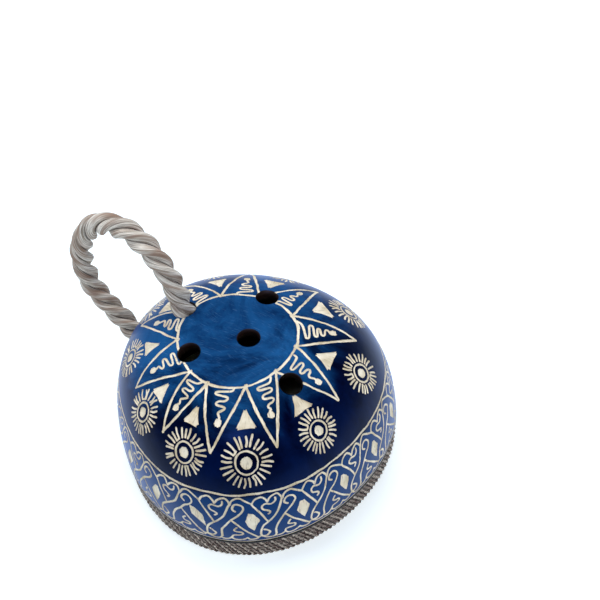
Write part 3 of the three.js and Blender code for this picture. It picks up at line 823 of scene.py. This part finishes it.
def blue_lacquer():
    """Blue lacquer over the scraped shell, sprayed and polished by hand: glossy, and dark navy over
    the shoulders. The crown is lighter and finely scratched, partly from wear and partly a painted
    reflection, and it reaches lower on the -X side. The lighter blue round the lower side is a
    painted reflection."""
    material = new_material("blue_sprayed_lacquer")
    place = add_node(material, "TexCoord")["Object"]
    # Painted reflection: the level leans, so that the lighter crown comes further down on the -X
    # side.
    height = add_node(
        material, "VectorMath", {0: place, 1: (-0.13, 0.05, 1)}, operation="DOT_PRODUCT"
    )["Value"]
    clouds = add_node(
        material, "TexNoise",
        {"Vector": place, "Scale": 38.0, "Detail": 9, "Roughness": 0.66, "Distortion": 0.8},
    )["Fac"]
    crown_edge_noise = add_node(material, "Math", {0: clouds, 1: 0.03}, operation="MULTIPLY")[0]
    level = add_node(material, "Math", {0: height, 1: crown_edge_noise}, operation="ADD")[0]
    low = add_node(material, "SeparateXYZ", {"Vector": place})["Z"]
    # The band mask lightens the lower side to a mid blue, a painted reflection of the pale floor at
    # grazing angles. The crown mask's lighter blue is partly wear and partly painted reflection.
    crown, band = [
        add_node(
            material, "MapRange", {"Value": value, "From Min": start, "From Max": end},
            interpolation_type="SMOOTHSTEP",
        )[0]
        for value, start, end in ((level, 0.072, 0.088), (low, 0.0445, 0.0405))
    ]
    navy = layered(material, "#000014", [(clouds, 0.38, 0.62, 1, "#010f38")])
    crown_wear_and_reflection = layered(material, "#01264f", [(clouds, 0.38, 0.62, 1, "#164e82")])
    bent = add_node(material, "TexNoise", {"Vector": place, "Scale": 60.0, "Detail": 1})["Color"]
    bent = add_node(
        material, "Mix", {"Factor": 0.006, "A": place, "B": bent}, data_type="VECTOR"
    )["Result"]
    scratch = 0.0
    for angle in (0.5, 2.1, 1.2, 2.8, 1.7):
        lines = add_node(
            material, "Mapping",
            {"Vector": bent, "Rotation": (0, 0, angle), "Scale": (170, 3100, 170)},
        )[0]
        drawn = add_node(material, "TexNoise", {"Vector": lines, "Scale": 1.0, "Detail": 1})["Fac"]
        scratch = add_node(material, "Math", {0: scratch, 1: drawn}, operation="MAXIMUM")[0]
    scratch = add_node(
        material, "MapRange", {"Value": scratch, "From Min": 0.7, "From Max": 0.8, "To Max": 0.22}
    )[0]
    scratch = add_node(material, "Math", {0: scratch, 1: crown}, operation="MULTIPLY")[0]
    # Painted reflection on the lower side, then the crown's colour (wear and painted reflection),
    # then the scratches.
    colour = navy
    layers = (band, hex_colour("#023164")), (crown, crown_wear_and_reflection), (scratch, hex_colour("#6f9cc8"))
    for share, layer in layers:
        colour = add_node(
            material, "Mix", {"Factor": share, "A": colour, "B": layer}, data_type="RGBA"
        )["Result"]
    peel = add_node(material, "TexNoise", {"Vector": place, "Scale": 420.0, "Detail": 2})["Fac"]
    bump = add_node(material, "Bump", {"Height": peel, "Strength": 0.12, "Distance": 0.0002})[0]
    shader = add_node(
        material, "BsdfPrincipled",
        {"Base Color": colour, "Roughness": 0.3, "IOR": 1.4, "Specular IOR Level": 0.2,
         "Specular Tint": hex_colour("#5f9cf0"), "Sheen Weight": 0.45, "Sheen Roughness": 0.35,
         "Sheen Tint": hex_colour("#3f86f5"), "Normal": bump},
    )[0]
    add_node(material, "OutputMaterial", {"Surface": shader})
    return material


def bare_coconut_shell():
    """The shell where the gouge has gone through the lacquer: pale and matt, with brown pores and
    fibres a few tenths of a millimetre wide that run from the crown to the rim."""
    material = new_material("bare_coconut_shell")
    grain = add_node(material, "Attribute", attribute_name="grain")["Vector"]
    fibre = add_node(
        material, "TexNoise", {"Vector": grain, "Scale": 1.6, "Detail": 3, "Roughness": 0.6}
    )["Fac"]
    place = add_node(material, "TexCoord")["Object"]
    stain = add_node(material, "TexNoise", {"Vector": place, "Scale": 160.0, "Detail": 3})["Fac"]
    colour = layered(
        material, "#efe6d1", [(stain, 0.35, 0.7, 1, "#cbbd9e"), (fibre, 0.57, 0.69, 0.75, "#8f7b62")]
    )
    bump = add_node(material, "Bump", {"Height": fibre, "Strength": 0.4, "Distance": 0.0003})[0]
    shader = add_node(
        material, "BsdfPrincipled", {"Base Color": colour, "Roughness": 0.8, "Normal": bump}
    )[0]
    add_node(material, "OutputMaterial", {"Surface": shader})
    return material


def raw_inner_shell():
    """The inside and the bores, scraped but not lacquered: dark brown, with a dull gleam."""
    material = new_material("raw_inner_coconut_shell")
    place = add_node(material, "TexCoord")["Object"]
    cloud = add_node(material, "TexNoise", {"Vector": place, "Scale": 220.0, "Detail": 4})["Fac"]
    colour = layered(material, "#0d0806", [(cloud, 0, 1, 1, "#2a1a11")])
    bump = add_node(material, "Bump", {"Height": cloud, "Strength": 0.5, "Distance": 0.0004})[0]
    shader = add_node(
        material, "BsdfPrincipled", {"Base Color": colour, "Roughness": 0.55, "Normal": bump}
    )[0]
    add_node(material, "OutputMaterial", {"Surface": shader})
    return material


def black_strip_and_recess_shade():
    """A near-black strip below the carving, with a few dusty specks. Its black goes on round the edge
    into the top of the seat's step, where it is painted shade in the recess above the twine.
    """
    material = new_material("black_strip_and_painted_recess_shade")
    place = add_node(material, "TexCoord")["Object"]
    dust = add_node(material, "TexNoise", {"Vector": place, "Scale": 300.0, "Detail": 3})["Fac"]
    colour = layered(material, "#010103", [(dust, 0, 1, 1, "#0c0d14")])
    shader = add_node(
        material, "BsdfPrincipled",
        {"Base Color": colour, "Roughness": 0.4, "Specular IOR Level": 0.12},
    )[0]
    add_node(material, "OutputMaterial", {"Surface": shader})
    return material


corners = np.concatenate([faces.ravel() for faces in shell_faces])
used, renumbered = np.unique(corners, return_inverse=True)
shell_points = np.vstack(shell_points)[used]
sizes = np.concatenate([np.full(len(faces), faces.shape[1]) for faces in shell_faces])
shell_faces = [face.tolist() for face in np.split(renumbered, np.cumsum(sizes)[:-1])]
shell = new_piece(
    "coconut_shell_carved", shell_points, shell_faces, "coconut_shell",
    [blue_lacquer(), bare_coconut_shell(), raw_inner_shell(), black_strip_and_recess_shade()],
)
shell.data.polygons.foreach_set("material_index", shell_materials)
shell.data.normals_split_custom_set(np.vstack(shell_shading))
shell_azimuth = np.arctan2(shell_points[:, 1], shell_points[:, 0])
mark_points(
    shell, "grain",
    np.stack(
        [BAND_RADIUS * np.cos(shell_azimuth), BAND_RADIUS * np.sin(shell_azimuth),
         0.12 * (np.hypot(*shell_points[:, :2].T) - shell_points[:, 2])], axis=1,
    ),
)

# The head: a goatskin, stretched wet over the mouth and turned up round the filed seat under the
# twine. It has dried hard and slightly see-through, with small pleats at the turn.
GAP = 0.2
SKIN = 0.7
SKIN_CORNER = 1.6
SKIN_TOP = 11.4
SKIN_COLUMNS = 240
PLEAT = 0.14
PLEATS_FROM = 52
PLEATS_FULL = 64
WAVE_RADIUS = 58
SKIN_WAVE = 0.25


def skin_inner(height):
    """The radius of the skin's inner side, which lies on the seat."""
    return seat_radius(height) + GAP


corner_turn = np.linspace(0, np.pi / 2, 7)
corner_radius = skin_inner(SKIN_CORNER) + SKIN - SKIN_CORNER
flat_radii = np.linspace(0.4, corner_radius, 34)[:-1]
side_heights = np.array([3.5, 6, 8.5, SKIN_TOP - 0.2])
skin_radii = np.concatenate(
    [flat_radii, corner_radius + SKIN_CORNER * np.sin(corner_turn), skin_inner(side_heights) + SKIN,
     [skin_inner(SKIN_TOP) + 0.5, skin_inner(SKIN_TOP)], skin_inner(side_heights[::-1]),
     [skin_inner(SHELL_FOOT) - 0.1], flat_radii[::-1]]
)
skin_heights = np.concatenate(
    [0 * flat_radii, SKIN_CORNER * (1 - np.cos(corner_turn)), side_heights,
     [SKIN_TOP, SKIN_TOP - 0.1], side_heights[::-1], [SKIN], 0 * flat_radii + SKIN]
)
turn = full_turn(SKIN_COLUMNS)
folds = sum(np.sin(count * turn + chance.uniform(0, 6.3)) for count in (47, 61, 74, 89)) / 2
rise = np.clip((skin_radii - PLEATS_FROM) / (PLEATS_FULL - PLEATS_FROM), 0, 1)[:, None] ** 2
pleats = PLEAT * rise * (1 + folds)
skin_grid = on_nut(turn, skin_radii[:, None] - pleats, skin_heights[:, None])
hollow = np.clip(1 - (skin_radii / WAVE_RADIUS) ** 2, 0, 1)[:, None]
wave = 0.5 + 0.25 * np.sin(skin_grid[..., 0] * 0.13) + 0.25 * np.sin(skin_grid[..., 1] * 0.11 + 1)
skin_grid[..., 2] += SKIN_WAVE * hollow * wave + pleats * (skin_heights < 0.6)[:, None]


def dried_goatskin():
    """Goatskin scraped of its hair and dried hard: cream, with faint darker islands and fine pores,
    and a low gleam where it is stretched."""
    material = new_material("dried_goatskin")
    place = add_node(material, "TexCoord")["Object"]
    islands = add_node(
        material, "TexNoise", {"Vector": place, "Scale": 32.0, "Detail": 5, "Distortion": 1.2}
    )["Fac"]
    pores = add_node(material, "TexVoronoi", {"Vector": place, "Scale": 1300.0})["Distance"]
    colour = layered(
        material, "#efe7d3",
        [(islands, 0.36, 0.68, 1, "#cbb995"), (pores, 0.22, 0.08, 0.45, "#8d7a5c")],
    )
    bump = add_node(material, "Bump", {"Height": pores, "Strength": 0.25, "Distance": 0.0002})[0]
    shader = add_node(
        material, "BsdfPrincipled",
        {"Base Color": colour, "Roughness": 0.5, "Subsurface Weight": 0.15,
         "Subsurface Radius": (0.002, 0.0012, 0.0006), "Normal": bump},
    )[0]
    add_node(material, "OutputMaterial", {"Surface": shader})
    return material


new_piece(
    "goatskin_stretched", skin_grid.reshape(-1, 3), closed_tube_faces(*skin_grid.shape[:2]),
    "goatskin_head", [dried_goatskin()],
)

# The binding: one length of dark two-ply twine wound five times round the rim over the skin. Each
# turn steps down to the next at the back, and the ends are tucked under.
TWINE = 2.2
TWINE_TURNS = 5
TWINE_FIRST_HEIGHT = 2.7
TWINE_PITCH = 4.8
TWINE_ROWS_PER_TURN = 520
TWINE_COLUMNS = 7
PLY_RADIUS = 0.62
PLY_OFFSET = 0.5
CROSSING_AZIMUTH = np.radians(125)
CROSSING_SHARE = 0.06
TUCK_SHARE = 0.01
TUCK_DEPTH = 1.2


def twine_relief(lean, along, strand):
    """Thick and thin places in the hand-spun ply."""
    uneven = np.sin(along * 1.9 + 3 * strand) + np.sin(along * 0.83 + strand)
    return 0.03 * (uneven + np.sin(5 * lean + along * 3.1))


turns = np.linspace(0, TWINE_TURNS, TWINE_TURNS * TWINE_ROWS_PER_TURN)
row = np.minimum(np.floor(turns), TWINE_TURNS - 1)
climb = np.clip((turns - row - (1 - CROSSING_SHARE)) / CROSSING_SHARE, 0, 1)
climb = np.where(row < TWINE_TURNS - 1, climb**2 * (3 - 2 * climb), 0)
tuck = np.clip(1 - turns / TUCK_SHARE, 0, 1)
tuck = tuck + np.clip(1 - (TWINE_TURNS - turns) / TUCK_SHARE, 0, 1)
twine_height = TWINE_FIRST_HEIGHT + TWINE * (row + climb) + 0.07 * np.sin(turns * 41) * (row > 0)
twine_radius = skin_inner(SKIN_TOP) + SKIN + GAP + TWINE / 2 - 0.06 - TUCK_DEPTH * tuck
twine_azimuth = CROSSING_AZIMUTH + 2 * np.pi * turns
twine_line = on_nut(twine_azimuth, twine_radius, twine_height)
twine_outward = np.stack([np.cos(twine_azimuth), np.sin(twine_azimuth), 0 * turns], axis=1)
twine_step = np.linalg.norm(twine_line[200] - twine_line[199])
twine_lay = 2 * np.pi / TWINE_PITCH * np.arange(len(turns)) * twine_step
twine_grid, twine_marks = laid_strands(
    twine_line, twine_outward, twine_lay, 2, PLY_RADIUS, PLY_OFFSET, np.ones(len(turns)),
    TWINE_COLUMNS, twine_relief,
)
twine_rows, twine_round = twine_grid.shape[:2]


def dark_spun_twine():
    """Hand-spun twine of two plies, matt and hairy: a cream one and a dark one, both flecked with
    brown and grey fibres, and painted shade that darkens each ply's sides to nearly black in the
    furrows."""
    material = new_material("dark_spun_twine")
    strand = add_node(material, "Attribute", attribute_name="strand")["Vector"]
    parts = add_node(material, "SeparateXYZ", {"Vector": strand})
    across = add_node(material, "Math", {0: parts["X"]}, operation="ABSOLUTE")[0]
    fleck, patches = [
        add_node(
            material, "TexNoise",
            {"Vector": add_node(material, "Mapping", {"Vector": strand, "Scale": stretch})[0],
             "Scale": scale, "Detail": detail},
        )["Fac"]
        for stretch, scale, detail in (((2.6, 1, 0.5), 1.4, 3), ((0.2, 1, 0.13), 1.0, 2))
    ]
    # Painted shade: the last layer darkens each ply towards its sides, in the furrows between plies.
    colour = layered(
        material, "#24130f",
        [(patches, 0, 1, 1, "#6a4d40"), (fleck, 0.45, 0.58, 1, "#fff3e2"),
         (parts["Y"], 0, STRANDS_APART, 0.55, "#452a26"), (across, 0.5, 1.2, 0.95, "#120608")],
    )
    bump = add_node(material, "Bump", {"Height": fleck, "Strength": 0.6, "Distance": 0.0003})[0]
    shader = add_node(
        material, "BsdfPrincipled", {"Base Color": colour, "Roughness": 0.85, "Normal": bump}
    )[0]
    add_node(material, "OutputMaterial", {"Surface": shader})
    return material


twine_fibre = dark_spun_twine()
twine = new_piece(
    "twine_binding_wound", twine_grid.reshape(-1, 3), closed_tube_faces(twine_rows, twine_round),
    "twine_binding", [twine_fibre],
)
mark_points(twine, "strand", twine_marks.reshape(-1, 3))

# Loose hairs of the twine, about a millimetre long, that stand off it a little.
TWINE_HAIRS = 700
picked = chance.integers(30, twine_rows - 30, TWINE_HAIRS)
columns = chance.integers(0, twine_round, TWINE_HAIRS)
hair_roots = twine_grid[picked, columns]
hair_ways = twine_grid[picked + 3, columns] - hair_roots
hair_ways *= chance.uniform(0.2, 0.8, (TWINE_HAIRS, 1))
hair_ways += twine_outward[picked] * chance.uniform(0.1, 0.6, (TWINE_HAIRS, 1))
hair_bends = chance.normal(0, 0.45, (TWINE_HAIRS, 3))
hair_points, hair_faces = whiskers(hair_roots, hair_ways, hair_bends, 0.11)
twine_hairs = new_piece("twine_binding_hairs", hair_points, hair_faces, None, [twine_fibre])
mark_points(twine_hairs, "strand", hair_points * 0.3)

# The studio: a white floor that is lit through from below, a surround that is pale behind and
# beside the drum and dark behind the camera, and soft lamps that don't show in the lacquer.
FLOOR_DROP = -0.0004
floor_mesh = bpy.data.meshes.new("pale_floor")
floor_mesh.from_pydata(
    [(-1, -1, FLOOR_DROP), (1, -1, FLOOR_DROP), (1, 1, FLOOR_DROP), (-1, 1, FLOOR_DROP)], [],
    [(0, 1, 2, 3)],
)
floor = bpy.data.objects.new("pale_floor", floor_mesh)
bpy.context.collection.objects.link(floor)
floor_sheet = new_material("backlit_white_acrylic")
floor_shader = add_node(
    floor_sheet, "BsdfPrincipled",
    {"Base Color": hex_colour("#c9d3d6"), "Roughness": 0.9, "Emission Color": hex_colour("#f6fbff"),
     "Emission Strength": 0.6},
)[0]
add_node(floor_sheet, "OutputMaterial", {"Surface": floor_shader})
floor_mesh.materials.append(floor_sheet)


def soft_lamp(name, place, size, power, colour, reflected=False):
    """A square area lamp at a place, turned to the drum. It gives soft light that reflections leave
    out, or else only a reflection."""
    lamp = bpy.data.lights.new(name, "AREA")
    lamp.size, lamp.energy, lamp.color = size, power, hex_colour(colour)[:3]
    made = bpy.data.objects.new(name, lamp)
    bpy.context.collection.objects.link(made)
    made.location = place
    made.rotation_euler = (Vector((0, 0, 0.04)) - made.location).to_track_quat("-Z", "Y").to_euler()
    made.visible_glossy = reflected
    made.visible_diffuse = not reflected


soft_lamp("overhead_softbox", (-0.35, 0.35, 1.25), 0.9, 15.5, "#ffffff")
soft_lamp("right_softbox", (1.0, -0.3, 0.8), 0.8, 9, "#f2f7ff")
soft_lamp("left_softbox", (-1.0, -0.6, 0.8), 0.7, 7, "#f2f7ff")
soft_lamp("high_window", (0.227, -0.474, 0.829), 0.17, 3, "#c9c4ff", reflected=True)

world = bpy.data.worlds.new("white_studio")
bpy.context.scene.world = world
world.use_nodes = True
way = add_node(world, "TexCoord")["Generated"]
toward = add_node(world, "VectorMath", {0: way, 1: (-0.34, 0.47, -0.81)}, operation="DOT_PRODUCT")
shade = add_node(
    world, "MapRange",
    {"Value": toward["Value"], "From Min": -0.6, "From Max": 0.3, "To Min": 0.05, "To Max": 0.65},
)[0]
background = world.node_tree.nodes["Background"]
background.inputs["Color"].default_value = hex_colour("#b9d6ff")
world.node_tree.links.new(shade, background.inputs["Strength"])
bpy.context.scene.view_settings.view_transform = "Standard"

bpy.context.view_layer.update()
